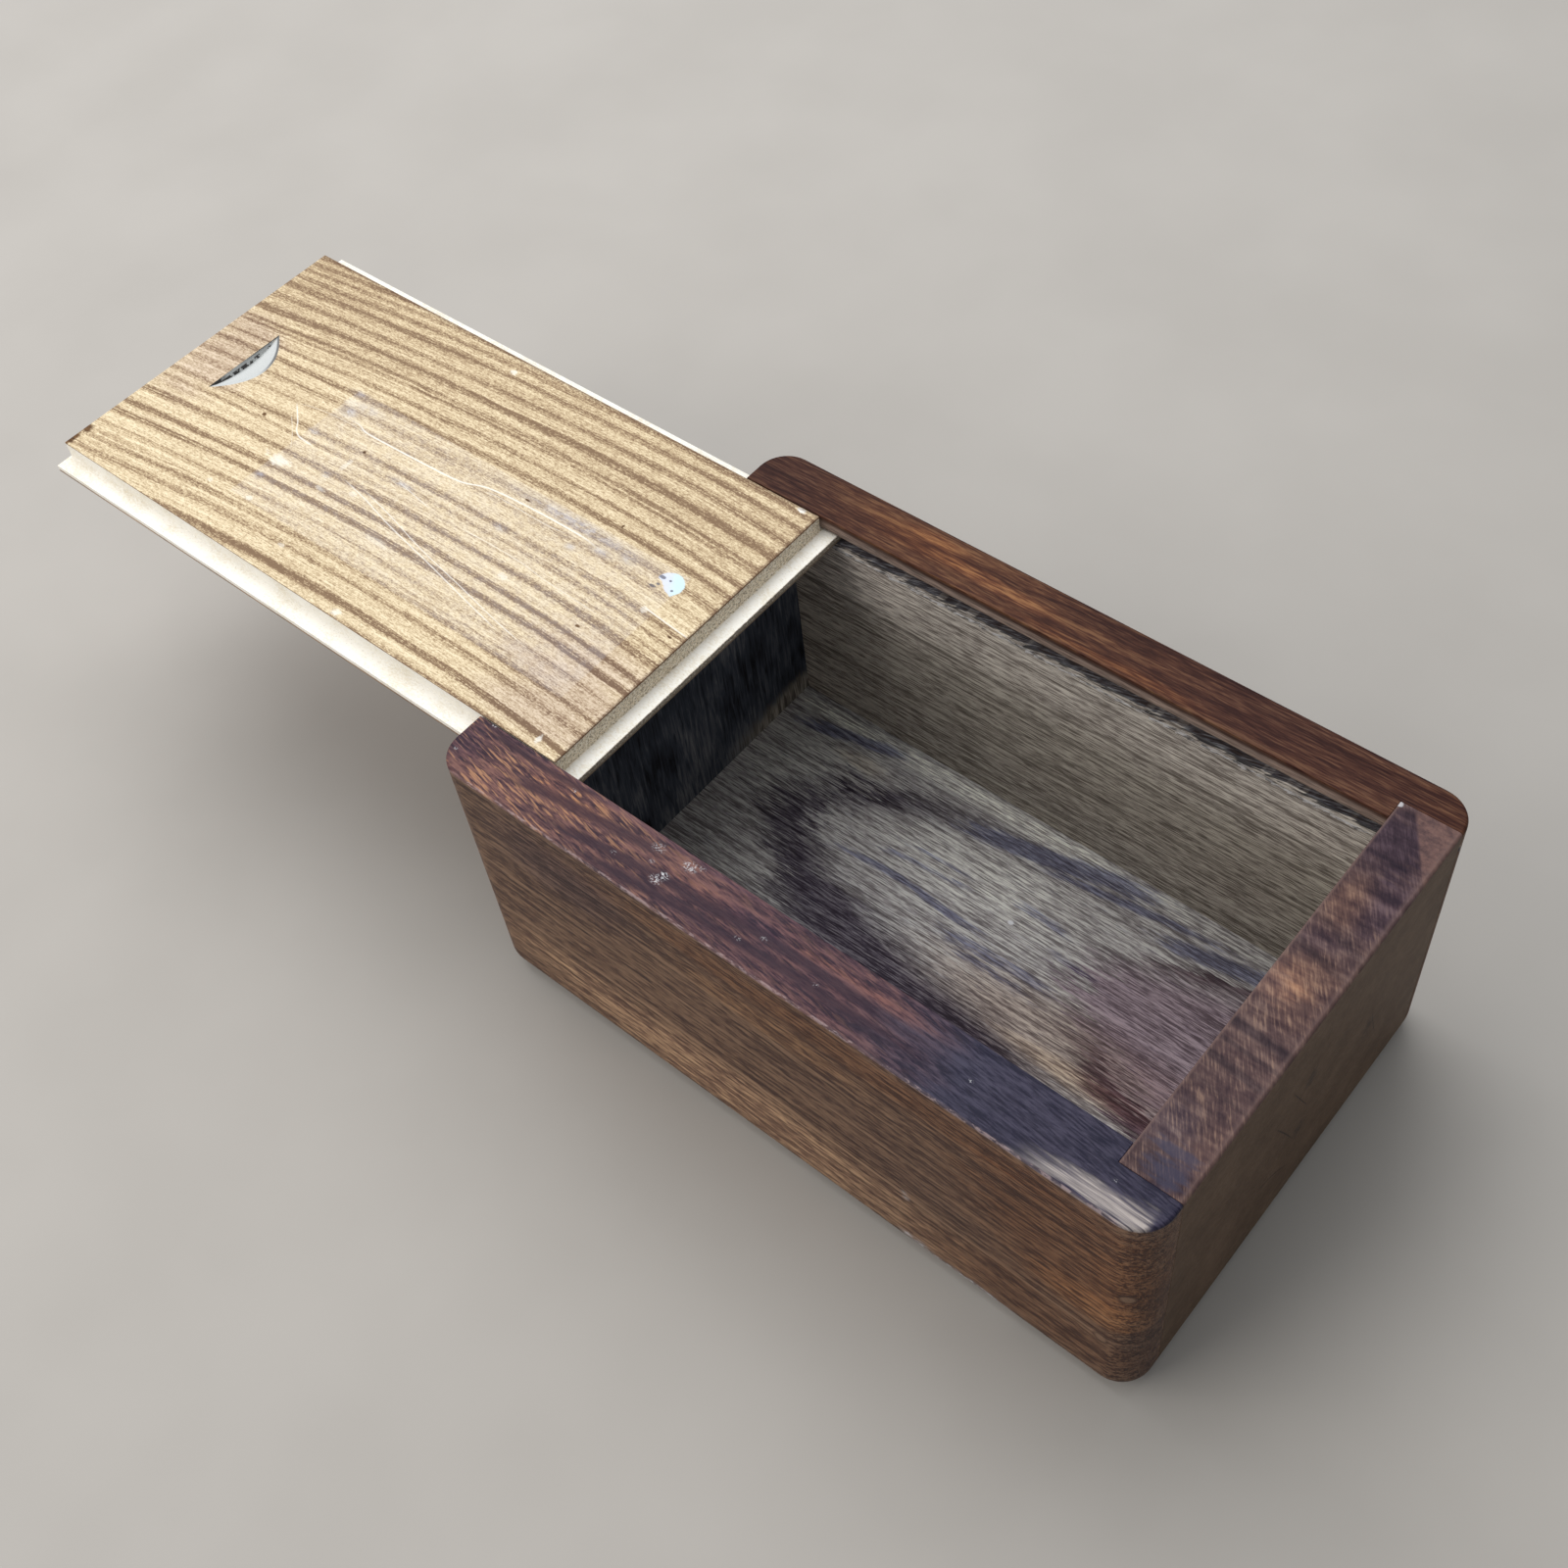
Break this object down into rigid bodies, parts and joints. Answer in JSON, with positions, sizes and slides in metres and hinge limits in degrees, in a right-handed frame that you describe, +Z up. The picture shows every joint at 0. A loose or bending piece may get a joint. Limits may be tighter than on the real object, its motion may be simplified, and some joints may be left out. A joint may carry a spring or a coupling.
{
  "type": "wooden box with sliding lid",
  "caption": "Rectangular hardwood box with rounded corners, an open cavity and a veneered fibreboard lid that slides in grooves and has a finger notch.",
  "frame": {"origin": "centre of the box's base, on the surface it stands on", "axes": "+X along the box towards its closed end, +Y from the near wall to the far wall, +Z up; the lid slides out towards -X"},
  "size_m": [0.347, 0.122, 0.081],
  "materials": {
    "side_wall_wood": "satin oiled dark hardwood",
    "end_wall_wood": "satin oiled figured hardwood",
    "floor_wood": "matt figured hardwood",
    "fibreboard": "raw pale fibreboard",
    "striped_veneer": "satin striped veneer, worn",
    "backing_veneer": "matt brown veneer"
  },
  "bodies": {
    "box": {"near_side_wall": "side_wall_wood", "far_side_wall": "side_wall_wood", "open_end_wall": "end_wall_wood", "closed_end_wall": "end_wall_wood", "bottom_board": "floor_wood"},
    "lid": {"lid_panel": "fibreboard", "lid_face_veneer": "striped_veneer", "lid_back_veneer": "backing_veneer"}
  },
  "joints": [
    {"name": "lid_slide", "type": "slide", "parent": "box", "child": "lid", "axis": [-1, 0, 0], "range_m": [-0.152, 0.032]}
  ]
}
